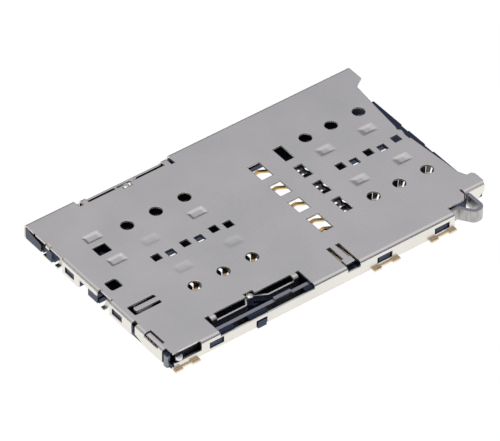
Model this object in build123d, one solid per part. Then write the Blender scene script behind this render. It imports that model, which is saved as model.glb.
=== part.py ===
from build123d import *
import os
from math import asin, atan2, cos, degrees, hypot, radians, sin, tan

# Plan zero is the first contact column of the rear card position, on the line midway
# between the two contact rows. Heights count up from the board. All sizes in mm.

# Cover sheet
height = 1.37
sheet = 0.15
bend_radius = 0.28
cover_rear = -5.85
cover_front = 23.35
cover_near = -9.05
cover_far = 8.5
wall_bottom = 0.17
plate_rear = -5.8
corner_rear = -5.47

# Clearances
housing_gap = 0.03
slide_gap = 0.02
running_gap = 0.03

# Underside of the cover plate
lid = height - sheet

# Card contacts
pitch = 2.54
row_reach = 4.0
hole_diameter = 1.0
tip_lead = 0.05
tip_height = 0.9
tip_drop = 0.3
strip_thickness = 0.12
beam_width = 0.5
tip_width = 0.26
beam_gap = 0.05
rear_holes_x = [0.0, 2.54, 5.08]
front_holes_x = [15.99, 18.33, 20.87]
rear_far_root_x = -0.37
rear_near_root_x = 0.76
front_far_root_x = 16.11
front_near_root_x = 17.24
near_root_y = -0.2
far_root_y = 0.0
root_window = 0.68
tail_opening = 0.64
tail_foot = 0.22
root_grip = 0.35
tip_overshoot = 0.42
tip_opening = (3.85, 4.62)
tip_opening_width = 0.76
drain_hole = (0.74, 0.5)
drain_step = (0.71, 0.55)

# Memory card contacts
memory_pitch = 1.1
memory_count = 8
memory_first_y = -4.314
memory_tip_x = 11.2
memory_tip_height = 0.97
memory_tip_back = 0.8
memory_tip_drop = 0.2
memory_width = 0.28
memory_grip = 0.12
comb_start_x = 13.5
comb_end_x = 14.42
comb_width = 0.85
comb_top = 0.2
memory_opening_x = 10.9
memory_opening_y = (-4.8, 4.5)
ejector_holes = [(15.0, 2.14), (15.0, -0.04), (15.0, -2.25)]
ejector_hole_diameter = 0.9

# Housing
floor_top = 0.39
floor_rear = -5.6
housing_front = 23.2
front_notches = [(-1.9, -0.89), (1.0, 1.84)]
front_notch_depth = 0.09
front_corner_y = 5.15
front_corner_depth = 0.35
channel_near = -7.35
channel_far = 7.55
rail_start_x = -3.05
rail_end_x = 21.2
far_rail_end_x = 22.9
rod_line_y = -8.35
rod_trough = 0.46
floor_groove = 0.06
pocket_floor = 0.15
latch_width = 1.0
latch_proud = 0.1
latch_play = 0.02

# Near and far leaf springs
leaf_bottom = 0.5
leaf_below_lid = 0.2
near_leaf_y = -7.5
far_leaf_y = 8.22
near_crest_y = -6.9
far_crest_y = 7.45
leaf_nose_x = (1.9, 2.3, 2.8, 3.85)
nose_room = 0.15
nose_radius = 0.27
nose_rim = 0.12
nose_rise = 0.08
nose_slope = 0.07
near_window = (-1.5, 6.8)
far_window = (-1.55, 6.75)
near_window_edge = -7.1
far_window_edge = 7.65
near_window_bottom = 1.0
far_window_bottom = 0.8
far_window_corner = (6.5, 6.82, 7.45)
leaf_tabs_x = (-1.15, 6.05)
tab_width = 0.45

# Push rod and lever
rod_thickness = 0.3
rod_bottom = 0.1
rod_below_lid = 0.1
rod_tooth = (3.7, 5.2)
rod_tooth_rise = 0.17
hook_line = [(20.2, -8.35), (20.95, -9.4), (21.75, -9.4), (21.75, -7.7)]
hook_radii = [0.17, 0.4, 0.45]
lever_thickness = 0.28
pivot_x = -4.3
pivot_y = -4.9
nub_x = -5.02
nub_y = -8.87
nub_radius = 0.28
arm_radius = 0.2
hub_radius = 0.72
lever_reach = 4.2
lever_tip_radius = 0.33
boss_radius = 0.85
pin_radius = 0.5
head_thickness = 0.12
head_clearance = 0.04

# Heights and slopes that follow from the sizes above
housing_near = cover_near + sheet + housing_gap
housing_far = cover_far - sheet - housing_gap
rail_top = lid - slide_gap
trough_near = rod_line_y - rod_trough / 2
trough_far = rod_line_y + rod_trough / 2
rod_top = lid - rod_below_lid
leaf_top = lid - leaf_below_lid
head_bottom = lid - head_clearance - head_thickness
lever_bottom = head_bottom - slide_gap - lever_thickness
lever_angle = degrees(atan2(nub_x - pivot_x, pivot_y - nub_y))
nub_length = hypot(nub_x - pivot_x, nub_y - pivot_y)


def block(x0, x1, y0, y1, z0, z1):
    """Square-edged solid between two corners."""
    return Pos((x0 + x1) / 2, (y0 + y1) / 2, (z0 + z1) / 2) * Box(x1 - x0, y1 - y0, z1 - z0)


def through(x0, x1, y0, y1):
    """Square cutter through everything above the board."""
    return block(x0, x1, y0, y1, -height, 2 * height)


def rounded(x0, x1, y0, y1, radius):
    """Cutter with rounded corners through everything above the board."""
    plan = RectangleRounded(x1 - x0, y1 - y0, radius)
    return Pos((x0 + x1) / 2, (y0 + y1) / 2, -height) * extrude(plan, amount=3 * height)


def post(x, y, radius, z0, z1):
    """Upright round solid."""
    return Pos(x, y, (z0 + z1) / 2) * Cylinder(radius, z1 - z0)


def prism(points, z0, z1, radius=0.0):
    """Upright solid over a plan outline with rounded corners."""
    outline = FilletPolyline(*points, radius=radius, close=True)
    return Pos(0, 0, z0) * extrude(make_face(outline), amount=z1 - z0)


def side_prism(points, x0, x1):
    """Solid along the socket with a given outline across it."""
    return Pos(x0, 0, 0) * extrude(Plane.YZ * make_face(Polyline(*points, close=True)), amount=x1 - x0)


def parallel(points, distances):
    """Corners of the line that runs beside a bent line, to its left."""
    steps = [(b[0] - a[0], b[1] - a[1]) for a, b in zip(points, points[1:])]
    normals = [(-dy / hypot(dx, dy), dx / hypot(dx, dy)) for dx, dy in steps]
    before = normals[:1] + normals
    after = normals + normals[-1:]
    corners = []
    for (x, y), (ax, ay), (bx, by), distance in zip(points, before, after, distances):
        stretch = distance / (1 + ax * bx + ay * by)
        corners.append((x + (ax + bx) * stretch, y + (ay + by) * stretch))
    return corners


def tapered(points, widths):
    """Flat strip along a bent line with its own width at every corner."""
    left = parallel(points, [width / 2 for width in widths])
    right = parallel(points, [-width / 2 for width in widths])
    return make_face(Polyline(*left, *right[::-1], close=True))


def band(points, width, radii):
    """Flat strip of even width along a bent line, rounded at each bend."""
    half = width / 2
    left = [0.0]
    right = [0.0]
    for a, b, c, bend in zip(points, points[1:], points[2:], radii):
        turn = (b[0] - a[0]) * (c[1] - b[1]) - (b[1] - a[1]) * (c[0] - b[0])
        inside = max(bend - half, 0.0)
        outside = bend + half if inside else bend
        left.append(inside if turn > 0 else outside)
        right.append(outside if turn > 0 else inside)
    left.append(0.0)
    right.append(0.0)
    corners = parallel(points, [half] * len(points)) + parallel(points, [-half] * len(points))[::-1]
    return make_face(FilletPolyline(*corners, radius=left + right[::-1], close=True))


def upright_strip(face, z0, z1):
    """Strip standing on edge over its plan."""
    return Pos(0, 0, z0) * extrude(face, amount=z1 - z0)


def folded_edge(origin, across, along, reach, drop, length, radius=bend_radius):
    """Sheet bent over one edge: a flat leg, a rounded bend and a leg at right angles."""
    outer = Pos(reach / 2, -drop / 2) * Rectangle(reach, drop)
    outer = fillet(outer.vertices().sort_by(Axis.Y)[-2:].sort_by(Axis.X)[0], radius)
    inner = Pos((reach + sheet) / 2, -(drop + sheet) / 2) * Rectangle(reach - sheet, drop - sheet)
    inner = fillet(inner.vertices().sort_by(Axis.Y)[-2:].sort_by(Axis.X)[0], radius - sheet)
    plane = Plane(origin=origin, x_dir=across, z_dir=along)
    return extrude(plane * (outer - inner), amount=length)


# Cover

# Plan outline of the mouth edge between the two front flanges, from far to near
mouth_edge = [
    (23.35, 6.85), (22.5, 6.3), (22.3, 4.45), (21.96, 1.0), (21.87, 0.75), (22.1, 0.54), (22.04, 0.15),
    (22.21, -2.02), (22.4, -4.3), (22.45, -5.5), (22.78, -6.2), (23.17, -6.2), (23.37, -6.45),
]
mouth_radii = [0.0, 0.25, 0.25, 0.1, 0.06, 0.08, 0.2, 0.25, 0.25, 0.3, 0.12, 0.0, 0.0]
# Plan outline of the near front step that the rod hook moves in, from rear to front
hook_step = [(19.41, -8.17), (20.95, -8.17), (21.3, -7.75), (21.3, -7.15), (21.48, -7.15)]
hook_step_radii = [0.0, 0.1, 0.1, 0.08, 0.08]
flange_wall_y = -7.65
flange_wall_bottom = 0.12
flange_wall_x = (21.48, 23.25)
flange_chamfer = 0.57
far_wall_front = 22.9
# Windows in the long walls: start and end along the socket
side_windows = [(-2.45, -1.2), (12.4, 13.75), (17.6, 18.95)]
side_window_heights = (0.37, 0.92)
nose_notch = (1.65, 2.6, 0.72)
far_notch = (2.7, 4.2, 0.55)
far_notch_depth = 0.35
# Solder feet along the long walls
side_feet = [(-5.62, -3.45), (11.95, 14.3), (17.1, 19.41)]
foot_bend_radius = sheet + 0.01
foot_reach = 0.27
foot_neck = 0.1
pad_width = 0.66
# Rear wall pieces: near edge, far edge, bottom height
rear_walls = [(-8.0, -4.8, 0.22), (-4.45, -1.8, 0.2), (-0.3, 1.9, 0.87), (1.9, 3.8, 0.12)]
rear_lip = (5.4, 5.82)
rear_lip_drop = 0.3
# Slanted lower corner of the nearest rear wall piece: inner end and height at the gap
rear_wall_slant = (-5.9, 0.55)
rear_windows = [(-3.3, -2.1, 0.47, 1.02), (2.4, 3.5, 0.37, 0.92)]
# Relief notches in the rear edge of the plate: near edge, far edge, inner end
rear_reliefs = [
    (-4.84, -4.41, -5.47), (-1.8, -1.64, -5.45), (-0.46, -0.3, -5.45), (3.8, 3.92, -5.68),
    (5.28, 5.4, -5.68), (5.82, 5.94, -5.68), (7.12, 7.32, -5.7),
]
# Windows over the memory contacts: start, end, near, far
memory_windows = [
    (10.62, 11.67, 2.13, 3.9), (10.62, 11.67, -0.07, 1.35),
    (10.62, 11.67, -2.27, -0.85), (10.62, 11.67, -4.9, -3.06),
    (13.26, 14.08, 2.75, 4.4), (13.26, 14.08, 0.5, 1.94),
    (13.26, 14.08, -1.7, -0.26), (13.26, 14.08, -4.15, -2.5),
]
# Square and rounded openings near the rear edge: start, end, near, far, corner radius
square_opening = (-3.5, -2.4, 2.5, 3.45)
rounded_opening = (-5.0, -4.0, -1.0, 0.0, 0.18)
# Cut that shows the lever nub: start, end and lower edge
nub_cut = (-5.95, -3.15, 0.62)
# Rear tongue and the slot around it: start, end, near, far
tongue = (-4.88, -2.0, -3.72, -3.3)
tongue_slot = (-5.2, -2.85, -4.02, -3.0)
tongue_radius = 0.12
# Tongue cut out of the rear bend: near and far end, slot along it and slit in the bend
bend_tongue = (-7.5, -5.88)
bend_slot_x = (-5.4, -5.22)
bend_slit_x = -5.6
bend_slit = (0.08, 0.3)
# T-shaped tongue at the near wall: opening, neck and head
t_opening = (9.75, 10.9, -9.2, -6.48)
t_neck = (10.1, 10.55, -8.1, -6.4)
t_head = (9.9, 10.7, -8.6, -8.05)
t_opening_bottom = lid - 0.3
t_flaps_x = (9.79, 10.6)
t_flap_width = 0.24
t_flap_y = (-8.12, -6.6)
t_flap_drop = 0.13
# Pressed guide pads: centre of each
sharp_pads = [(-2.75, 4.42), (-2.75, 1.47), (4.8, 2.1)]
soft_pads = [(16.3, 2.05), (20.15, 2.05), (16.3, -2.02), (20.15, -2.02)]
shallow_pads = [(0.4, 1.75), (0.55, -1.95), (5.0, -1.9)]
pad_length = 1.35
pad_breadth = 0.8
pad_side_run = 0.14
short_pad_run = 0.2
long_pad_run = 0.42
pad_depth = 0.07
shallow_pad_depth = 0.02


def folded_cover():
    """Top plate with both long walls folded down."""
    width = cover_far - cover_near
    drop = height - wall_bottom
    middle = (cover_near + cover_far) / 2
    outer = Pos(middle, height - drop / 2) * Rectangle(width, drop)
    outer = fillet(outer.vertices().sort_by(Axis.Y)[-2:], bend_radius)
    inner = Pos(middle, height - (drop + sheet) / 2) * Rectangle(width - 2 * sheet, drop - sheet)
    inner = fillet(inner.vertices().sort_by(Axis.Y)[-2:], bend_radius - sheet)
    return Pos(plate_rear, 0, 0) * extrude(Plane.YZ * (outer - inner), amount=cover_front - plate_rear)


def foot(x0, x1, side, wall_outer):
    """Solder foot bent outward from a long wall, with two pads and a narrower neck."""
    wall_inner = wall_outer - side * sheet
    start = x0 if side < 0 else x1
    leg = folded_edge(
        (start, wall_inner, 0), (0, side, 0), (-side, 0, 0),
        sheet + foot_reach, wall_bottom + sheet, x1 - x0, foot_bend_radius,
    )
    edges = sorted((wall_outer + side * foot_neck, wall_outer + side * (foot_reach + sheet)))
    return leg - block(x0 + pad_width, x1 - pad_width, *edges, -sheet, sheet)


def leaf_nose(y):
    """Round button with a sloped rim at the crest of a leaf."""
    x = (leaf_nose_x[1] + leaf_nose_x[2]) / 2
    shoulder = lid + nose_rise - nose_slope
    button = post(x, y, nose_radius, leaf_bottom, shoulder)
    return button + Pos(x, y, shoulder + nose_slope / 2) * Cone(nose_radius, nose_rim, nose_slope)


def leaf_spring(side, line_y, crest_y, plate_edge):
    """Leaf on edge with a pressed-in nose, hung from two bent tabs of the plate."""
    start = leaf_tabs_x[0]
    end = leaf_tabs_x[1] + tab_width
    line_points = [start, leaf_nose_x[0]]
    points = [(x, line_y) for x in line_points] + [(x, crest_y) for x in leaf_nose_x[1:3]]
    points += [(leaf_nose_x[3], line_y), (end, line_y)]
    spring = upright_strip(band(points, sheet, [sheet] * 4), leaf_bottom, leaf_top)
    spring += leaf_nose(crest_y + side * nose_room)
    outer = line_y + side * sheet / 2
    reach = abs(outer - plate_edge) + sheet
    for tab in leaf_tabs_x:
        x = tab if side < 0 else tab + tab_width
        spring += folded_edge(
            (x, outer, height), (0, -side, 0), (-side, 0, 0), reach, height - leaf_bottom, tab_width
        )
    return spring


def contact_windows():
    """Round holes over the contact tips and square holes over the tails."""
    cutters = [
        post(x, side * row_reach, hole_diameter / 2, 0, 2 * height)
        for x in rear_holes_x + front_holes_x for side in (-1, 1)
    ]
    half = root_window / 2
    for first, y in (
        (rear_far_root_x, far_root_y), (rear_near_root_x, near_root_y),
        (front_far_root_x, far_root_y), (front_near_root_x, near_root_y),
    ):
        for k in range(3):
            x = first + k * pitch
            cutters.append(through(x - half, x + half, y - half, y + half))
    return cutters


def rear_tongue_slot():
    """U-shaped slot around the rear tongue."""
    return rounded(*tongue_slot, tongue_radius) - rounded(*tongue, tongue_radius)


def bend_tongue_slots():
    """Slot, end cut and slit that free a tongue in the rear bend."""
    near, far = bend_tongue
    outer, inner = bend_slot_x
    upper, lower = bend_slit
    return [
        block(outer, inner, near, far, leaf_top, 2 * height),
        block(cover_rear - 1, inner, far + outer - inner, far, height - lower, 2 * height),
        block(cover_rear - 1, bend_slit_x, near, far, height - lower, height - upper),
    ]


def t_slot():
    """Opening around the T-shaped tongue, down into the near wall."""
    neck = block(*t_neck, 0, 2 * height)
    head = block(*t_head, 0, 2 * height)
    return block(*t_opening, t_opening_bottom, 2 * height) - neck - head


def t_slot_flaps():
    """Two narrow flaps that slope down beside the neck, from under the head of the tongue."""
    near, far = t_flap_y
    bend = t_head[3]
    low = lid - t_flap_drop
    outline = [(near, lid), (bend, lid), (far, low), (far, low - sheet), (bend, lid - sheet), (near, lid - sheet)]
    return [side_prism(outline, x, x + t_flap_width) for x in t_flaps_x]


def rear_edge_cutters():
    """Everything that is missing from the plate and walls along the rear edge."""
    outside = cover_rear - 1
    start, end, lower = nub_cut
    cutters = [
        through(outside, cover_rear + bend_radius, cover_near - 1, rear_walls[-1][1]),
        through(outside, corner_rear, cover_near - 1, rear_walls[0][0]),
        through(outside, cover_rear + bend_radius, *rear_lip),
        block(start, end, cover_near - 1, cover_near + bend_radius, lower, 2 * height),
    ]
    return cutters + [through(outside, inner, near, far) for near, far, inner in rear_reliefs]


def wall_slant():
    """Slanted corner that shows the housing beside the gap in the rear wall."""
    slant_y, slant_z = rear_wall_slant
    edge = rear_walls[0][1]
    corners = [(slant_y, 0), (edge, 0), (edge, slant_z), (slant_y, rear_walls[0][2])]
    return side_prism(corners, cover_rear - 1, cover_rear + bend_radius)


def front_cutters():
    """The V-shaped mouth edge, the step beside the rod hook and the short far wall."""
    beyond = cover_front + 2
    mouth = mouth_edge + [(beyond, mouth_edge[-1][1]), (beyond, mouth_edge[0][1])]
    bend_start = flange_wall_y + bend_radius
    step = [(hook_step[0][0], cover_near - 1)] + hook_step
    step += [(hook_step[-1][0], bend_start), (beyond, bend_start), (beyond, cover_near - 1)]
    return [
        prism(mouth, -height, 2 * height, mouth_radii + [0.0, 0.0]),
        prism(step, -height, 2 * height, [0.0] + hook_step_radii + [0.0, 0.0, 0.0]),
        block(far_wall_front, beyond, cover_far - bend_radius, cover_far + 1, -height, height - bend_radius),
    ]


def flange():
    """Wall folded down at the near front corner, with its lower front corner cut off."""
    start, end = flange_wall_x
    wall = folded_edge(
        (start, flange_wall_y, height), (0, 1, 0), (1, 0, 0),
        2 * bend_radius, height - flange_wall_bottom, end - start,
    )
    low = flange_wall_bottom
    corner = [(end - flange_chamfer, low), (end, low), (end, low + flange_chamfer)]
    cut = extrude(Plane.XZ * make_face(Polyline(*corner, close=True)), amount=-2 * flange_wall_y)
    return wall - cut


def side_cutters():
    """Leaf spring windows, latch windows and notches of both long walls."""
    beyond_near = cover_near - 1
    beyond_far = cover_far + 1
    nose = (leaf_nose_x[1] - nose_room, leaf_nose_x[2] + nose_room)
    near_nose = (near_window_edge - 1, near_crest_y + nose_room)
    far_nose = (far_crest_y - nose_room, far_window_edge + 1)
    cutters = [
        block(*near_window, beyond_near, near_window_edge, near_window_bottom, 2 * height),
        block(*far_window, far_window_edge, beyond_far, far_window_bottom, 2 * height),
        block(*far_window_corner, beyond_far, far_window_bottom, 2 * height),
        block(*nose, *near_nose, lid - slide_gap, 2 * height),
        block(*nose, *far_nose, lid - slide_gap, 2 * height),
        block(*nose_notch[:2], beyond_near, cover_near + bend_radius, -1, nose_notch[2]),
        block(*far_notch[:2], cover_far - bend_radius, beyond_far, -1, far_notch[2]),
    ]
    for x0, x1 in side_windows:
        cutters.append(block(x0, x1, beyond_near, cover_near + bend_radius, *side_window_heights))
        cutters.append(block(x0, x1, cover_far - bend_radius, beyond_far, *side_window_heights))
    return cutters


def pressed_pad(depth, end_run):
    """Shape of one guide pad below the plate: a shallow dish with sloped ends and sides."""
    rim = Rectangle(pad_length, pad_breadth)
    base = Rectangle(pad_length - 2 * end_run, pad_breadth - 2 * pad_side_run)
    return loft([Pos(0, 0, -depth) * base, rim], ruled=True)


def with_pads(body):
    """Presses the guide pads into the plate, hollow above and proud below."""
    for centres, depth, end_run in (
        (sharp_pads, pad_depth, short_pad_run), (soft_pads, pad_depth, long_pad_run),
        (shallow_pads, shallow_pad_depth, short_pad_run),
    ):
        dish = pressed_pad(depth, end_run)
        for x, y in centres:
            body = body + Pos(x, y, lid) * dish - Pos(x, y, height) * dish
    return body


def cover():
    """Stamped and folded sheet with every opening, tongue, spring and foot."""
    body = folded_cover() - rear_edge_cutters() - front_cutters()
    for near, far, bottom in rear_walls + [(*rear_lip, height - rear_lip_drop)]:
        body += folded_edge(
            (cover_rear, far, height), (1, 0, 0), (0, -1, 0), 2 * bend_radius, height - bottom, far - near
        )
    cutters = contact_windows() + side_cutters() + bend_tongue_slots()
    cutters += [through(*window) for window in memory_windows]
    cutters += [through(*square_opening), rounded(*rounded_opening)]
    cutters += [block(cover_rear - 1, cover_rear + bend_radius, *window) for window in rear_windows]
    cutters += [rear_tongue_slot(), t_slot(), wall_slant()]
    cutters += [through(cover_rear - 1, inner, near, far) for near, far, inner in rear_reliefs]
    body -= cutters
    body += flange()
    for x0, x1 in side_feet:
        body += foot(x0, x1, -1, cover_near)
        body += foot(x0, x1, 1, cover_far)
    body += leaf_spring(-1, near_leaf_y, near_crest_y, near_window_edge)
    body += leaf_spring(1, far_leaf_y, far_crest_y, far_window_edge)
    body += t_slot_flaps()
    return with_pads(body)


# Contacts


def contact_line(tip_x, root_x, side, start, end):
    """Plan line of one contact: straight from the root, then slanted through its tip."""
    offset = tip_x - root_x
    overshoot = end - row_reach
    lean = max(-overshoot, min(overshoot, offset))
    return [
        (root_x, side * start), (root_x, side * (row_reach - abs(offset))),
        (tip_x, side * row_reach), (tip_x + lean, side * end),
    ]


def sim_contact(tip_x, root_x, side, root_y):
    """Bent strip from a tail on the board through the floor up to a rounded tip."""
    tail = side * root_y
    grip = tail + tail_opening / 2
    middle = strip_thickness / 2
    grip_z = floor_top / 2
    end = row_reach + tip_overshoot
    profile = [
        (tail - tail_foot, middle), (grip - 2 * strip_thickness, middle), (grip, grip_z),
        (grip + root_grip, grip_z), (row_reach, tip_height + strip_thickness / 4), (end, tip_height - tip_drop),
    ]
    face = band(profile, strip_thickness, [0.0, 0.0, 0.0, row_reach * strip_thickness])
    plane = Plane(origin=(root_x, 0, 0), x_dir=(0, side, 0), z_dir=(side, 0, 0))
    raised = extrude(plane * face, amount=pitch, both=True)
    plan = contact_line(tip_x, root_x, side, tail - pitch, row_reach + pitch)
    widths = [beam_width, beam_width, tip_width, tip_width]
    return raised & upright_strip(tapered(plan, widths), -sheet, height)


def sim_slot(tip_x, root_x, side, root_y):
    """Floor openings of one contact: the beam slot, the tip opening, the tail and the grip."""
    grip = side * root_y + tail_opening / 2
    start, end = tip_opening
    line = contact_line(tip_x, root_x, side, grip + root_grip, end)
    widths = [width + 2 * beam_gap for width in (beam_width, beam_width, tip_width, tip_width)]
    lean = (line[3][0] - line[2][0]) / (end - row_reach)
    half = tip_opening_width / 2
    corners = []
    for y, sign in ((start, -1), (start, 1), (end, 1), (end, -1)):
        corners.append((tip_x + (y - row_reach) * lean + sign * half, side * y))
    seat_y = side * (grip + root_grip / 2)
    return [
        upright_strip(tapered(line, widths), -1, 2 * height),
        prism(corners, -1, 2 * height),
        Pos(root_x, root_y, 0) * Box(tail_opening, tail_opening, 4 * height),
        Pos(root_x, seat_y, floor_top / 2) * Box(beam_width, root_grip + slide_gap, strip_thickness),
    ]


def sim_positions(holes_x, far_root_x, near_root_x):
    """Tip, root, side and root line of the six contacts of one card position."""
    near = [(x + tip_lead, near_root_x + k * pitch, -1, near_root_y) for k, x in enumerate(holes_x)]
    far = [(x + tip_lead, far_root_x + k * pitch, 1, far_root_y) for k, x in enumerate(holes_x)]
    return near + far


rear_positions = sim_positions(rear_holes_x, rear_far_root_x, rear_near_root_x)
front_positions = sim_positions(front_holes_x, front_far_root_x, front_near_root_x)


def lengthwise_strip(profile, radii, y, width):
    """Bent strip along the socket on a given line."""
    face = band(profile, strip_thickness, radii)
    return Pos(0, y + width / 2, 0) * extrude(Plane.XZ * face, amount=width)


def memory_contact(y):
    """Strip from the comb down to the board and up over the opening to a rounded tip."""
    middle = strip_thickness / 2
    profile = [
        (memory_tip_x - memory_tip_back, memory_tip_height - memory_tip_drop),
        (memory_tip_x, memory_tip_height + strip_thickness / 4), (comb_start_x - strip_thickness, middle),
        (comb_end_x - strip_thickness, middle), (comb_end_x, floor_top / 2),
        (comb_end_x + memory_grip, floor_top / 2),
    ]
    return lengthwise_strip(profile, [2.5 * strip_thickness, 0.0, 0.0, 0.0], y, memory_width)


def memory_lines():
    """Distance of each memory contact from the axis."""
    return [memory_first_y + k * memory_pitch for k in range(memory_count)]


# Rear terminals

tail_width = 0.38
tail_end_x = -5.8
tail_step_x = (-5.45, -5.25)
detect_spring_y = 6.0
detect_terminal_y = 4.6
ground_terminal_y = -0.92
terminal_seat = 0.54
blade_top = lid - 0.17
# Plan line of the detect blade and plan of the fixed pad behind it
detect_line = [(-4.6, 6.15), (-3.7, 6.15), (-2.85, 5.2), (-3.15, 4.2)]
detect_pad = (-3.87, -3.75, 4.2, 5.0)
ground_step_x = (-4.95, -4.75)
ground_end_x = -4.0
ground_step_height = 0.58


def gull_tail(y, top, inner_x):
    """Tail from a pad on the board up to a level strip."""
    middle = strip_thickness / 2
    profile = [(tail_end_x, middle), (tail_step_x[0], middle), (tail_step_x[1], top), (inner_x, top)]
    return lengthwise_strip(profile, [strip_thickness, strip_thickness], y, tail_width)


def detect_spring():
    """Leaf on edge that the tray corner pushes toward the fixed terminal."""
    tail = gull_tail(detect_spring_y, terminal_seat + strip_thickness / 2, detect_line[0][0] + strip_thickness)
    blade = band(detect_line, strip_thickness, [strip_thickness, strip_thickness])
    return tail + upright_strip(blade, terminal_seat, blade_top)


def detect_terminal():
    """Fixed terminal with an upright pad behind the leaf."""
    tail = gull_tail(detect_terminal_y, terminal_seat + strip_thickness / 2, detect_pad[1])
    return tail + block(*detect_pad, terminal_seat, blade_top)


def ground_terminal():
    """Low terminal under the sweep of the lever."""
    middle = strip_thickness / 2
    low = floor_top + middle
    profile = [
        (tail_end_x, middle), (tail_step_x[0], middle), (tail_step_x[1], ground_step_height),
        (ground_step_x[0], ground_step_height), (ground_step_x[1], low), (ground_end_x, low),
    ]
    return lengthwise_strip(profile, [strip_thickness, strip_thickness, 0.0, 0.0], ground_terminal_y, tail_width)


# Housing

# Openings in the floor along the rear edge: near and far
rear_gaps = [(-1.75, -0.3), (0.95, 1.95), (3.85, 5.1), (5.74, 6.4)]
rear_gap_depth = 0.7
under_lid = lid - 0.07
# Rear blocks: start, end, near, far, bottom, top
rear_blocks = [
    (-5.67, -5.45, -8.0, -4.84, 0.0, under_lid),
    (-5.67, -5.4, -4.84, -4.41, 0.0, 0.92),
    (-5.67, -5.45, -4.41, -1.9, 0.0, under_lid),
    (-5.7, -4.8, -0.2, 0.92, 0.0, 0.85),
    (-5.67, -4.9, 1.95, 3.75, 0.0, under_lid),
    (-5.3, -4.9, 3.75, 4.2, 0.0, under_lid),
    (-5.83, -4.9, 5.12, 5.74, 0.1, height - 0.33),
    (-5.45, -4.9, 6.4, 8.25, 0.0, under_lid),
    (-4.9, -4.3, 4.2, 8.25, 0.3, terminal_seat),
    (-3.05, -2.75, 2.9, 3.3, 0.0, 0.87),
]
# Far rear block with a sloped top: start, end, outline across the socket
sloped_block = (-5.83, -4.9)
sloped_outline = [(6.4, 0.2), (8.25, 0.2), (8.25, lid), (6.4, lid - 0.37)]
# Post at the near rear corner: start, end, near, far
corner_post = (-5.8, -5.4, -8.55, -8.02)
corner_post_radius = 0.17
floor_corner_radius = 0.25
# Openings of the rails outward of the rod: start, end
outer_rail_gaps = [(-0.15, 1.1), (2.75, 6.05)]
outer_rail_gap_top = 1.17
t_rail_gap = (9.7, 10.95)
near_boss = (1.75, 2.5, 0.05, 0.62)


def housing_floor():
    """Floor plate with the front corner cut back around the rod hook."""
    flange_inner = flange_wall_y + sheet + slide_gap
    hook_x = hook_step[0][0] - housing_gap
    outline = [
        (floor_rear, housing_near), (hook_x, housing_near), (hook_x, trough_far), (rail_end_x, trough_far),
        (rail_end_x, flange_inner), (housing_front, flange_inner), (housing_front, housing_far),
        (floor_rear, housing_far),
    ]
    radii = [floor_corner_radius] + [0.0] * 6 + [floor_corner_radius]
    return prism(outline, 0, floor_top, radii)


def housing_rails():
    """Walls beside the card channel and outside the rod."""
    flange_inner = flange_wall_y + sheet + slide_gap
    hook_x = hook_step[0][0] - housing_gap
    return [
        block(rail_start_x, hook_x, housing_near, trough_near, 0, rail_top),
        block(rail_start_x, rail_end_x, trough_far, channel_near, 0, rail_top),
        block(rail_end_x - sheet, housing_front, flange_inner, flange_inner + bend_radius, 0, rail_top),
        block(rail_start_x, far_rail_end_x, channel_far, housing_far, 0, rail_top),
    ]


def latch_bosses():
    """Bosses that stand in the wall windows and hold the cover."""
    z0 = side_window_heights[0] + latch_play
    z1 = side_window_heights[1] - latch_play
    bosses = []
    for x0, x1 in side_windows:
        start = (x0 + x1 - latch_width) / 2
        end = start + latch_width
        bosses.append(block(start, end, housing_near - latch_proud, housing_near + latch_proud, z0, z1))
        bosses.append(block(start, end, housing_far - latch_proud, housing_far + latch_proud, z0, z1))
    for y0, y1, z0, z1 in rear_windows:
        bosses.append(
            block(
                cover_rear + latch_proud, rear_blocks[0][1], y0 + latch_proud, y1 - latch_proud,
                z0 + latch_play, z1 - latch_play,
            )
        )
    start, end, proud, top = near_boss
    bosses.append(block(start, end, cover_near - proud, housing_near + latch_proud, latch_play, top))
    return bosses


def far_rear_block():
    """Block with a sloped top at the far rear corner."""
    return side_prism(sloped_outline, *sloped_block)


def rounded_post():
    """Post with rounded corners at the near rear corner."""
    x0, x1, y0, y1 = corner_post
    return rounded(x0, x1, y0, y1, corner_post_radius) & block(x0, x1, y0, y1, 0, under_lid)


def memory_comb():
    """Opening under the memory contacts and the comb that parts their roots."""
    cutters = [
        through(memory_opening_x, comb_start_x, *memory_opening_y),
        block(memory_opening_x, comb_end_x, *memory_opening_y, comb_top, 2 * height),
    ]
    half = comb_width / 2
    grip = memory_width / 2
    grip_z = (floor_top - strip_thickness) / 2
    for y in memory_lines():
        cutters.append(through(comb_start_x - half, comb_end_x, y - half, y + half))
        cutters.append(
            block(comb_start_x, comb_end_x + memory_grip, y - grip, y + grip, grip_z, grip_z + strip_thickness)
        )
    return cutters


def floor_openings():
    """Card contact slots, memory opening with its comb, and the moulding holes."""
    cutters = memory_comb()
    for position in rear_positions + front_positions:
        cutters += sim_slot(*position)
    for x, y in ejector_holes:
        cutters.append(post(x, y, ejector_hole_diameter / 2, -1, 2 * height))
    for first in (rear_near_root_x, front_near_root_x):
        for k in range(2):
            x = first + k * pitch + drain_step[0]
            cutters.append(Pos(x, drain_step[1], 0) * Box(*drain_hole, 4 * height))
    for near, far in front_notches:
        cutters.append(through(housing_front - front_notch_depth, housing_front + 1, near, far))
    corner_x = housing_front - front_corner_depth
    cutters.append(through(corner_x, housing_front + 1, front_corner_y, channel_far))
    for near, far in rear_gaps:
        cutters.append(through(cover_rear - 1, floor_rear + rear_gap_depth, near, far))
    return cutters


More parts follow.
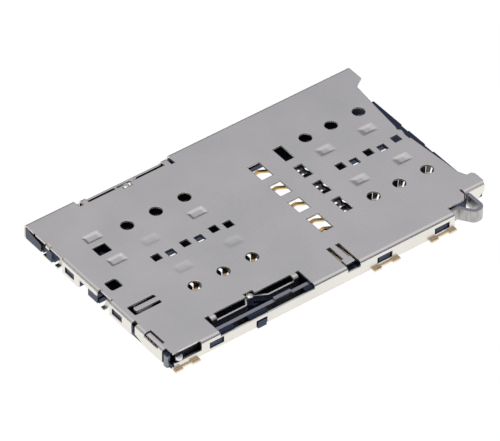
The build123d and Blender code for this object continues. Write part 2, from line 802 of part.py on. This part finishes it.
def trough_cutters():
    """Room for the rod, the leaf springs and the folds of the cover."""
    top = 2 * height
    outward = housing_near - latch_proud
    cutters = [
        block(corner_post[1], hook_line[0][0] + rod_thickness, trough_near, trough_far, floor_groove, top),
        block(*near_window, trough_far - slide_gap, channel_near + slide_gap, pocket_floor, top),
        block(*near_window, outward, trough_near + slide_gap, outer_rail_gap_top, top),
        block(*far_window, channel_far - slide_gap, cover_far, floor_top, top),
        block(*t_rail_gap, outward, channel_near + slide_gap, t_opening_bottom - slide_gap, top),
        through(*far_notch[:2], housing_far - far_notch_depth, cover_far),
        bend_relief(rail_start_x, -1, cover_near + sheet),
        bend_relief(rail_start_x, 1, cover_far - sheet),
        bend_relief(rail_end_x, -1, flange_wall_y + sheet),
    ]
    for start, end in outer_rail_gaps:
        cutters.append(block(start, end, outward, trough_near + slide_gap, floor_top, top))
    return cutters


def bend_relief(start, side, wall_inner):
    """Slanted cutter that keeps a rail clear of the inner curve of a cover bend."""
    inner_radius = bend_radius - sheet
    corners = [
        (wall_inner, lid - inner_radius), (wall_inner - side * inner_radius, lid), (wall_inner, lid),
    ]
    return side_prism(corners, start, cover_front)


def housing():
    """Moulded body."""
    body = housing_floor() + housing_rails() + latch_bosses()
    body += [rounded_post(), far_rear_block()]
    body -= trough_cutters()
    body += [block(*size) for size in rear_blocks]
    body -= floor_openings()
    body += post(pivot_x, pivot_y, boss_radius, 0, lever_bottom - slide_gap)
    return body - post(pivot_x, pivot_y, pin_radius, floor_groove, height)


# Moving pieces


def eject_lever():
    """Flat lever with a rounded nub past the rod line and a long arm behind the tray."""
    hub = Circle(hub_radius)
    near_arm = make_hull((hub + Pos(0, -nub_length) * Circle(arm_radius)).edges())
    far_arm = make_hull((hub + Pos(0, lever_reach) * Circle(lever_tip_radius)).edges())
    plan = near_arm + far_arm + Pos(0, -nub_length) * Circle(nub_radius) - Circle(pin_radius + running_gap)
    return Pos(pivot_x, pivot_y, lever_bottom) * Rot(0, 0, lever_angle) * extrude(plan, amount=lever_thickness)


def lever_pivot():
    """Rivet with a flat head over the lever."""
    shank = post(pivot_x, pivot_y, pin_radius, floor_groove, head_bottom + head_thickness / 2)
    head = post(pivot_x, pivot_y, hub_radius, head_bottom, head_bottom + head_thickness)
    return shank + head


def rod_end_x():
    """Where the rod ends beside the slanted near arm of the lever."""
    slant = radians(lever_angle)
    narrowing = asin((hub_radius - arm_radius) / nub_length)
    drop = pivot_y - rod_line_y
    half_arm = (hub_radius - drop / cos(slant) * sin(narrowing)) / cos(narrowing)
    corner = rod_thickness / 2 * tan(narrowing - slant)
    return pivot_x + drop * tan(slant) + half_arm / cos(slant) + corner + running_gap


def push_rod():
    """Strip on edge with a low tooth and a looped hook that the eject pin pushes."""
    strip = band([(rod_end_x(), rod_line_y)] + hook_line, rod_thickness, hook_radii)
    body = upright_strip(strip, rod_bottom, rod_top)
    half = rod_thickness / 2
    return body + block(*rod_tooth, rod_line_y - half, rod_line_y + half, rod_top - sheet, rod_top + rod_tooth_rise)


def pieces():
    """Every separate piece by name."""
    found = {
        "cover": cover(),
        "housing": housing(),
        "push_rod": push_rod(),
        "eject_lever": eject_lever(),
        "lever_pivot": lever_pivot(),
        "detect_spring": detect_spring(),
        "detect_terminal": detect_terminal(),
        "ground_terminal": ground_terminal(),
    }
    for k, position in enumerate(rear_positions):
        found[f"rear_sim_contact_{k + 1}"] = sim_contact(*position)
    for k, position in enumerate(front_positions):
        found[f"front_sim_contact_{k + 1}"] = sim_contact(*position)
    for k, y in enumerate(memory_lines()):
        found[f"memory_contact_{k + 1}"] = memory_contact(y)
    return found


os.makedirs("parts", exist_ok=True)
centre = Pos(-(cover_rear + cover_front) / 2, -(cover_near + cover_far) / 2, 0)
for name, piece in pieces().items():
    export_step(centre * piece, f"parts/{name}.step")
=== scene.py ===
from math import cos, radians, sin

import bpy
from mathutils import Matrix, Vector


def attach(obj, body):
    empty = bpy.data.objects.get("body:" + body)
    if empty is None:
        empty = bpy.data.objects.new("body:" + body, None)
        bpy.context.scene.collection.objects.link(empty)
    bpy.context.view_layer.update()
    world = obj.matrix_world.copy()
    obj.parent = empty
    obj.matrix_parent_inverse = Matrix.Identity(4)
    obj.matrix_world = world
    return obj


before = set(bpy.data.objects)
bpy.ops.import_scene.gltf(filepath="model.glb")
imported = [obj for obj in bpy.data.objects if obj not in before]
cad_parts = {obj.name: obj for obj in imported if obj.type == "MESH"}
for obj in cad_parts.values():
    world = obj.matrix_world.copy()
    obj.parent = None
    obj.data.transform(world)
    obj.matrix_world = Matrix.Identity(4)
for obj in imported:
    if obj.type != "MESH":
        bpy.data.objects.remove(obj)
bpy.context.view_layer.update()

MM = 0.001
# Places on the part that the materials follow, in mm. Heights are above the board, and
# distances to the side are from the middle line.
PLATE_LEVEL = 1.37
WALLS_FROM = 8.3
FEET_FROM = 8.76
# Heights where a look begins or ends, and how far that border is blurred to each side
CUT_FACES_FROM = (1.21, 0.005)
FOOT_TAN_TO = (0.2, 0.04)
CONTACT_ROOT_TONE_TO = (0.6, 0.12)
# Radius of the cover's stamped edges
ROLLED_EDGE = 0.06
# The two flaps in the T slot, tinted with painted shade: middle and half length along the socket,
# middle and half height
FLAPS_ALONG = (1.565, 0.56)
FLAPS_LEVEL = (1.165, 0.125)
# Guide pads pressed into the plate: middle of each and how softly its slopes run out, and how
# far from its middle a pad reaches
GUIDE_PADS = [
    (7.55, 2.325, 0.24), (11.4, 2.325, 0.24), (7.55, -1.745, 0.24), (11.4, -1.745, 0.24),
    (-11.5, 4.695, 0.17), (-11.5, 1.745, 0.17), (-3.95, 2.375, 0.17),
    (-8.35, 2.025, 0.45), (-8.2, -1.675, 0.45), (-3.75, -1.625, 0.45),
]
PAD_REACH = 0.95
# Height of a face's normal, 0 on an upright face and 1 on a level one: a face counts as upright
# up to the first and as level from the second
NORMAL_HEIGHTS = (0.7, 0.95)


def linear(code):
    """An sRGB hex colour as linear red, green, blue, alpha."""
    values = [int(code[i:i + 2], 16) / 255 for i in (1, 3, 5)]
    curve = [v / 12.92 if v <= 0.04045 else ((v + 0.055) / 1.055) ** 2.4 for v in values]
    return (*curve, 1.0)


def add(tree, kind, links=None, **settings):
    """A node with its settings; links names its inputs and what feeds each, a socket or a value."""
    node = tree.nodes.new(kind)
    for name, value in settings.items():
        setattr(node, name, value)
    for key, value in (links or {}).items():
        socket = node.inputs[key]
        if isinstance(value, bpy.types.NodeSocket):
            tree.links.new(value, socket)
        else:
            socket.default_value = value
    return node


def new_material(name):
    """A material with its node tree and its shader."""
    material = bpy.data.materials.new(name)
    material.use_nodes = True
    tree = material.node_tree
    tree.nodes.clear()
    shader = add(tree, "ShaderNodeBsdfPrincipled")
    add(tree, "ShaderNodeOutputMaterial", {"Surface": shader.outputs["BSDF"]})
    return material, tree, shader


def facing_up(tree):
    """1 on faces that look up, 0 on upright ones."""
    shape = add(tree, "ShaderNodeNewGeometry")
    parts = add(tree, "ShaderNodeSeparateXYZ", {"Vector": shape.outputs["True Normal"]})
    bounds = {"From Min": NORMAL_HEIGHTS[0], "From Max": NORMAL_HEIGHTS[1]}
    rise = add(tree, "ShaderNodeMapRange", {"Value": parts.outputs["Z"], **bounds})
    return rise.outputs["Result"]


def below(tree, place, level, blur):
    """1 below a height, 0 above it, with a soft border of blur to each side; both in mm."""
    parts = add(tree, "ShaderNodeSeparateXYZ", {"Vector": place.outputs["Object"]})
    bounds = {"From Min": (level + blur) * MM, "From Max": (level - blur) * MM}
    fade = add(tree, "ShaderNodeMapRange", {"Value": parts.outputs["Z"], **bounds})
    return fade.outputs["Result"]


def outside(tree, place, reach):
    """1 further than reach from the middle line, 0 nearer; in mm."""
    parts = add(tree, "ShaderNodeSeparateXYZ", {"Vector": place.outputs["Object"]})
    away = add(tree, "ShaderNodeMath", {0: parts.outputs["Y"]}, operation="ABSOLUTE")
    far = {0: away.outputs[0], 1: reach * MM}
    return add(tree, "ShaderNodeMath", far, operation="GREATER_THAN").outputs[0]


def pad_slopes(tree, place):
    """Radius to round by: the run of a guide pad's slopes near that pad, else the rolled edge."""
    total = 0.0
    for x, y, run in GUIDE_PADS:
        away = {0: place.outputs["Object"], 1: (x * MM, y * MM, PLATE_LEVEL * MM)}
        away = add(tree, "ShaderNodeVectorMath", away, operation="DISTANCE").outputs["Value"]
        here = {0: away, 1: PAD_REACH * MM}
        here = add(tree, "ShaderNodeMath", here, operation="LESS_THAN").outputs[0]
        total = {0: here, 1: run * MM, 2: total}
        total = add(tree, "ShaderNodeMath", total, operation="MULTIPLY_ADD").outputs[0]
    widest = {0: total, 1: ROLLED_EDGE * MM}
    return add(tree, "ShaderNodeMath", widest, operation="MAXIMUM").outputs[0]


def rolled_stainless():
    """Stainless sheet, cold rolled to a satin face with a faint grain along the roll."""
    material, tree, shader = new_material("rolled_stainless_sheet")
    place = add(tree, "ShaderNodeTexCoord")
    upward = facing_up(tree)
    # rolling grain about 1 mm long and 0.05 mm wide
    stretch = add(tree, "ShaderNodeMapping", {
        "Vector": place.outputs["Object"], "Scale": (1 / MM, 20 / MM, 20 / MM),
    })
    grain = add(tree, "ShaderNodeTexNoise", {
        "Vector": stretch.outputs["Vector"], "Scale": 1.0, "Detail": 3.0,
    })
    # cloudy change of tone over about 4 mm
    cloud = add(tree, "ShaderNodeTexNoise", {
        "Vector": place.outputs["Object"], "Scale": 0.25 / MM, "Detail": 2.0,
    })
    tone = add(tree, "ShaderNodeValToRGB", {"Fac": cloud.outputs["Fac"]})
    tone.color_ramp.elements[0].position = 0.3
    tone.color_ramp.elements[0].color = linear("#E2DFD9")
    tone.color_ramp.elements[1].position = 0.7
    tone.color_ramp.elements[1].color = linear("#ECE8E1")
    rolled = add(tree, "ShaderNodeMapRange", {
        "Value": grain.outputs["Fac"], "To Min": 0.22, "To Max": 0.32,
    })
    # the holes and windows are punched: their upright cut faces, above 1.21 mm, are torn and rough
    smooth = {0: upward, 1: below(tree, place, *CUT_FACES_FROM)}
    smooth = add(tree, "ShaderNodeMath", smooth, operation="MAXIMUM").outputs[0]
    smooth = {0: smooth, 1: outside(tree, place, WALLS_FROM)}
    smooth = add(tree, "ShaderNodeMath", smooth, operation="MAXIMUM").outputs[0]
    rough = {0: smooth, 2: 0.6, 3: rolled.outputs["Result"]}
    rough = add(tree, "ShaderNodeMix", rough).outputs[0]
    # stamped edges are rolled over by about 0.06 mm, and pad slopes run out softer
    edge = add(tree, "ShaderNodeBevel", {"Radius": pad_slopes(tree, place)}, samples=8)
    bump = add(tree, "ShaderNodeBump", {
        "Height": grain.outputs["Fac"], "Strength": 0.03, "Distance": 0.002 * MM,
        "Normal": edge.outputs["Normal"],
    })
    # the feet stand out from the walls and are tinted tan up to about 0.2 mm
    foot = {0: below(tree, place, *FOOT_TAN_TO), 1: outside(tree, place, FEET_FROM)}
    foot = add(tree, "ShaderNodeMath", foot, operation="MULTIPLY").outputs[0]
    colour = {0: foot, 6: tone.outputs["Color"], 7: linear("#EBD6B4")}
    colour = add(tree, "ShaderNodeMix", colour, data_type="RGBA").outputs[2]
    # the two flaps in the T slot, bent down below the plate, are tinted straw as painted shade
    parts = add(tree, "ShaderNodeSeparateXYZ", {"Vector": place.outputs["Object"]})
    flap_shade = upward
    for axis, (middle, half) in (("X", FLAPS_ALONG), ("Z", FLAPS_LEVEL)):
        within = {0: parts.outputs[axis], 1: middle * MM, 2: half * MM}
        within = add(tree, "ShaderNodeMath", within, operation="COMPARE").outputs[0]
        flap_shade = add(tree, "ShaderNodeMath", {0: flap_shade, 1: within}, operation="MULTIPLY").outputs[0]
    colour = {0: flap_shade, 6: colour, 7: linear("#E0D0B4")}
    colour = add(tree, "ShaderNodeMix", colour, data_type="RGBA").outputs[2]
    tree.links.new(colour, shader.inputs["Base Color"])
    tree.links.new(rough, shader.inputs["Roughness"])
    tree.links.new(bump.outputs["Normal"], shader.inputs["Normal"])
    shader.inputs["Metallic"].default_value = 1.0
    return material


def blanked_strip():
    """Spring steel strip: drawn sides with drag lines, smoother sheared edges on top in a cooler
    grey that is partly painted shade.
    """
    material, tree, shader = new_material("blanked_steel_strip")
    place = add(tree, "ShaderNodeTexCoord")
    upward = facing_up(tree)
    # drag lines of the die, 0.1 mm apart and 1 mm long, upright on the sides
    stretch = add(tree, "ShaderNodeMapping", {
        "Vector": place.outputs["Object"], "Scale": (10 / MM, 10 / MM, 1 / MM),
    })
    lines = add(tree, "ShaderNodeTexNoise", {
        "Vector": stretch.outputs["Vector"], "Scale": 1.0, "Detail": 3.0,
    })
    drag = add(tree, "ShaderNodeValToRGB", {"Fac": lines.outputs["Fac"]})
    drag.color_ramp.elements[0].position = 0.3
    drag.color_ramp.elements[0].color = linear("#9A9998")
    drag.color_ramp.elements[1].position = 0.7
    drag.color_ramp.elements[1].color = linear("#C9C7C5")
    # the top faces take a cooler, darker grey: partly the sheared edge's own tone, partly painted
    # shade
    tone = {0: upward, 6: drag.outputs["Color"], 7: linear("#A9A9AD")}
    tone = add(tree, "ShaderNodeMix", tone, data_type="RGBA").outputs[2]
    drawn = add(tree, "ShaderNodeMapRange", {
        "Value": lines.outputs["Fac"], "To Min": 0.3, "To Max": 0.44,
    })
    sheared = add(tree, "ShaderNodeMapRange", {
        "Value": lines.outputs["Fac"], "To Min": 0.24, "To Max": 0.36,
    })
    rough = {0: upward, 2: drawn.outputs["Result"], 3: sheared.outputs["Result"]}
    rough = add(tree, "ShaderNodeMix", rough).outputs[0]
    tree.links.new(tone, shader.inputs["Base Color"])
    tree.links.new(rough, shader.inputs["Roughness"])
    shader.inputs["Metallic"].default_value = 1.0
    return material


def tumbled_steel():
    """Flat steel of the lever and its rivet, tumbled bright and round at the edges."""
    material, tree, shader = new_material("tumbled_steel")
    place = add(tree, "ShaderNodeTexCoord")
    # tumbling marks about 0.1 mm across
    marks = add(tree, "ShaderNodeTexNoise", {
        "Vector": place.outputs["Object"], "Scale": 10 / MM, "Detail": 3.0,
    })
    rough = add(tree, "ShaderNodeMapRange", {
        "Value": marks.outputs["Fac"], "To Min": 0.16, "To Max": 0.3,
    })
    edge = add(tree, "ShaderNodeBevel", {"Radius": 0.1 * MM}, samples=6)
    tree.links.new(rough.outputs["Result"], shader.inputs["Roughness"])
    tree.links.new(edge.outputs["Normal"], shader.inputs["Normal"])
    shader.inputs["Base Color"].default_value = linear("#E2E0E6")
    shader.inputs["Metallic"].default_value = 1.0
    return material


def plated(name, dark, light, root):
    """Thin plating on copper alloy strip, a little cloudy, with another tone near the root, which
    on the gold contacts is partly painted shade.
    """
    material, tree, shader = new_material(name)
    place = add(tree, "ShaderNodeTexCoord")
    # patches about 0.3 mm across
    wear = add(tree, "ShaderNodeTexNoise", {
        "Vector": place.outputs["Object"], "Scale": 3 / MM, "Detail": 3.0,
    })
    tone = add(tree, "ShaderNodeValToRGB", {"Fac": wear.outputs["Fac"]})
    tone.color_ramp.elements[0].color = linear(dark)
    tone.color_ramp.elements[1].color = linear(light)
    # the bright plating begins about 0.6 mm above the board; below it lies the root tone, on the
    # gold contacts their underplate darkened as painted shade
    root_band = below(tree, place, *CONTACT_ROOT_TONE_TO)
    colour = {0: root_band, 6: tone.outputs["Color"], 7: linear(root)}
    colour = add(tree, "ShaderNodeMix", colour, data_type="RGBA").outputs[2]
    rough = add(tree, "ShaderNodeMapRange", {
        "Value": wear.outputs["Fac"], "To Min": 0.2, "To Max": 0.32,
    })
    tree.links.new(colour, shader.inputs["Base Color"])
    tree.links.new(rough.outputs["Result"], shader.inputs["Roughness"])
    shader.inputs["Metallic"].default_value = 1.0
    return material


def moulded_plastic():
    """Glass filled liquid crystal polymer, moulded, blue black and slightly mottled."""
    material, tree, shader = new_material("moulded_black_polymer")
    place = add(tree, "ShaderNodeTexCoord")
    # flow mottle about 0.12 mm across
    fibre = add(tree, "ShaderNodeTexNoise", {
        "Vector": place.outputs["Object"], "Scale": 8 / MM, "Detail": 4.0,
    })
    tone = add(tree, "ShaderNodeValToRGB", {"Fac": fibre.outputs["Fac"]})
    tone.color_ramp.elements[0].color = linear("#0E121A")
    tone.color_ramp.elements[1].color = linear("#1B2230")
    bump = add(tree, "ShaderNodeBump", {
        "Height": fibre.outputs["Fac"], "Strength": 0.2, "Distance": 0.003 * MM,
    })
    tree.links.new(tone.outputs["Color"], shader.inputs["Base Color"])
    tree.links.new(bump.outputs["Normal"], shader.inputs["Normal"])
    shader.inputs["Roughness"].default_value = 0.25
    shader.inputs["Specular IOR Level"].default_value = 0.9
    shader.inputs["Specular Tint"].default_value = linear("#A2BAF4")
    return material


sheet = rolled_stainless()
strip = blanked_strip()
lever = tumbled_steel()
# the dark root tone #8A8074 of the gold contacts is partly their underplate and partly painted
# shade
gold = plated("gold_plated_strip", "#D6AC66", "#E8C88C", "#8A8074")
worn_gold = plated("worn_gold_plated_strip", "#C8C3B8", "#DDD8CC", "#8A8074")
tin = plated("tin_plated_strip", "#CFCDC8", "#E2E0DC", "#D6D4D0")
tail_gold = plated("gold_plated_tail", "#D6AC66", "#E8C88C", "#E0BC7C")
# grey metal skin for the corner post: painted reflection of its glossy plastic
reflection_skin = plated("painted_reflection_skin", "#77777C", "#A2A2A8", "#8A8A90")
plastic = moulded_plastic()

finish = {
    "cover": sheet, "housing": plastic, "push_rod": strip, "eject_lever": lever,
    "lever_pivot": lever, "detect_terminal": tin, "ground_terminal": tin,
    "detect_spring": tail_gold,
}
# Every other node is a contact, and those of the front card position are worn
for name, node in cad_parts.items():
    contact = worn_gold if name.startswith("front_sim") else gold
    for slot in node.material_slots:
        slot.material = finish.get(name, contact)

# Corner post at the near rear corner, in mm: start, end, near, far and the radius of its corners
POST = (-14.55, -14.15, -8.275, -7.745)
POST_RADIUS = 0.17
# Bright skin on the post, a painted reflection of its glossy corner, in mm: how far its two faces
# stand off, and its lower and upper edge
SKIN_FACES = (0.003, 0.015)
SKIN_HEIGHTS = (0.1, 1.03)
# At each corner it bends in so many steps of so many degrees
BEND_STEP = 7.5
BEND_STEPS = 8


def post_skin():
    """Thin bright strip bent around the outer side of the corner post, as a painted reflection."""
    start, end, near, far = POST
    corners = [
        (start + POST_RADIUS, near + POST_RADIUS, 180),
        (end - POST_RADIUS, near + POST_RADIUS, 270),
    ]
    path = [(start + POST_RADIUS, far - POST_RADIUS, radians(180))]
    for x, y, turn in corners:
        path += [(x, y, radians(turn + BEND_STEP * (i + 1))) for i in range(BEND_STEPS)]
    points = []
    for off in SKIN_FACES:
        radius = POST_RADIUS + off
        for z in SKIN_HEIGHTS:
            points += [
                ((x + radius * cos(turn)) * MM, (y + radius * sin(turn)) * MM, z * MM)
                for x, y, turn in path
            ]
    count = len(path)
    last = count - 1
    inner_low, inner_high, outer_low, outer_high = (row * count for row in range(4))
    faces = [
        (inner_low, outer_low, outer_high, inner_high),
        (inner_low + last, inner_high + last, outer_high + last, outer_low + last),
    ]
    for i in range(last):
        faces += [
            (outer_low + i, outer_low + i + 1, outer_high + i + 1, outer_high + i),
            (inner_low + i + 1, inner_low + i, inner_high + i, inner_high + i + 1),
            (inner_high + i, outer_high + i, outer_high + i + 1, inner_high + i + 1),
            (inner_low + i, inner_low + i + 1, outer_low + i + 1, outer_low + i),
        ]
    mesh = bpy.data.meshes.new("corner_post_skin")
    mesh.from_pydata(points, [], faces)
    skin = bpy.data.objects.new("corner_post_skin", mesh)
    bpy.context.scene.collection.objects.link(skin)
    mesh.materials.append(reflection_skin)
    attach(skin, "socket")


post_skin()

# Half the side of the floor in metres, and how far it lies under the solder feet in mm
FLOOR_HALF = 2.0
FLOOR_DROP = 0.02


def lay_floor():
    """Light table of white acrylic that glows, just under the solder feet."""
    mesh = bpy.data.meshes.new("floor")
    corners = [(x * FLOOR_HALF, y * FLOOR_HALF, 0) for x, y in ((-1, -1), (1, -1), (1, 1), (-1, 1))]
    mesh.from_pydata(corners, [], [(0, 1, 2, 3)])
    floor = bpy.data.objects.new("floor", mesh)
    bpy.context.scene.collection.objects.link(floor)
    floor.location.z = -FLOOR_DROP * MM
    acrylic, _, shader = new_material("light_table_acrylic")
    shader.inputs["Base Color"].default_value = linear("#202020")
    shader.inputs["Roughness"].default_value = 0.9
    shader.inputs["Emission Color"].default_value = linear("#FFFFFF")
    shader.inputs["Emission Strength"].default_value = 1.0
    mesh.materials.append(acrylic)


lay_floor()

# Camera, fitted to the holes and edges seen in the photograph. Angles are in radians, distances
# in mm and the focal length in pixels of the picture. AIM is the place on the plate over the
# first rear contacts, and CAMERA_ASIDE how far right and up of the view's middle it lies.
CAMERA_AZIMUTH = -0.655431
CAMERA_ELEVATION = 0.721500
CAMERA_ROLL = 0.008727
CAMERA_AWAY = 423.9036
CAMERA_ASIDE = (-6.31249, -2.44435)
AIM = Vector((-8.75, 0.275, PLATE_LEVEL))
FOCAL_PIXELS = 5996.857
FRAME_PIXELS = 500
SENSOR_WIDTH = 36.0


def place_camera():
    """Camera at the photograph's angle."""
    a, e, r = CAMERA_AZIMUTH, CAMERA_ELEVATION, CAMERA_ROLL
    right = Vector((cos(a), sin(a), 0))
    ahead = Vector((-sin(a) * cos(e), cos(a) * cos(e), -sin(e)))
    up = right.cross(ahead)
    across = right * cos(r) + up * sin(r)
    upward = up * cos(r) - right * sin(r)
    back = -ahead
    centre = AIM - across * CAMERA_ASIDE[0] - upward * CAMERA_ASIDE[1] + back * CAMERA_AWAY
    turn = Matrix((across, upward, back)).transposed().to_4x4()
    data = bpy.data.cameras.new("camera")
    data.sensor_fit = "HORIZONTAL"
    data.sensor_width = SENSOR_WIDTH
    data.lens = FOCAL_PIXELS / FRAME_PIXELS * SENSOR_WIDTH
    data.clip_start = 0.01
    data.clip_end = 10
    camera = bpy.data.objects.new("camera", data)
    camera.matrix_world = Matrix.Translation(centre * MM) @ turn
    bpy.context.scene.collection.objects.link(camera)
    bpy.context.scene.camera = camera


place_camera()

# Key light: a square soft box above the rear far side, in metres and watts
KEY_PLACE = Vector((-0.10, 0.10, 0.60))
KEY_SIDE = 0.20
KEY_POWER = 0.25
key_data = bpy.data.lights.new("key_box", "AREA")
key_data.shape = "SQUARE"
key_data.size = KEY_SIDE
key_data.energy = KEY_POWER
key_box = bpy.data.objects.new("key_box", key_data)
key_box.location = KEY_PLACE
key_box.rotation_euler = (-KEY_PLACE).to_track_quat("-Z", "Y").to_euler()
bpy.context.scene.collection.objects.link(key_box)

# Studio room, its tone by height from level with the object, 0, to straight above it, 1: a
# darker ring around the object and a bright ceiling
SKY = [
    (0.0, "#2C2C30"), (0.15, "#444448"), (0.33, "#6E6E76"), (0.52, "#80818A"),
    (0.62, "#AAABB5"), (0.74, "#B8B9C2"), (0.88, "#D8D8DA"), (1.0, "#C6C6CA"),
]
SKY_STRENGTH = 1.2
world = bpy.data.worlds.new("studio")
bpy.context.scene.world = world
world.use_nodes = True
sky = world.node_tree
toward = add(sky, "ShaderNodeTexCoord")
height = add(sky, "ShaderNodeSeparateXYZ", {"Vector": toward.outputs["Generated"]})
ramp = add(sky, "ShaderNodeValToRGB", {"Fac": height.outputs["Z"]})
while len(ramp.color_ramp.elements) < len(SKY):
    ramp.color_ramp.elements.new(0.5)
for element, (position, code) in zip(ramp.color_ramp.elements, SKY):
    element.position = position
    element.color = linear(code)
background = sky.nodes["Background"]
sky.links.new(ramp.outputs["Color"], background.inputs["Color"])
background.inputs["Strength"].default_value = SKY_STRENGTH
bpy.context.scene.view_settings.view_transform = "Standard"
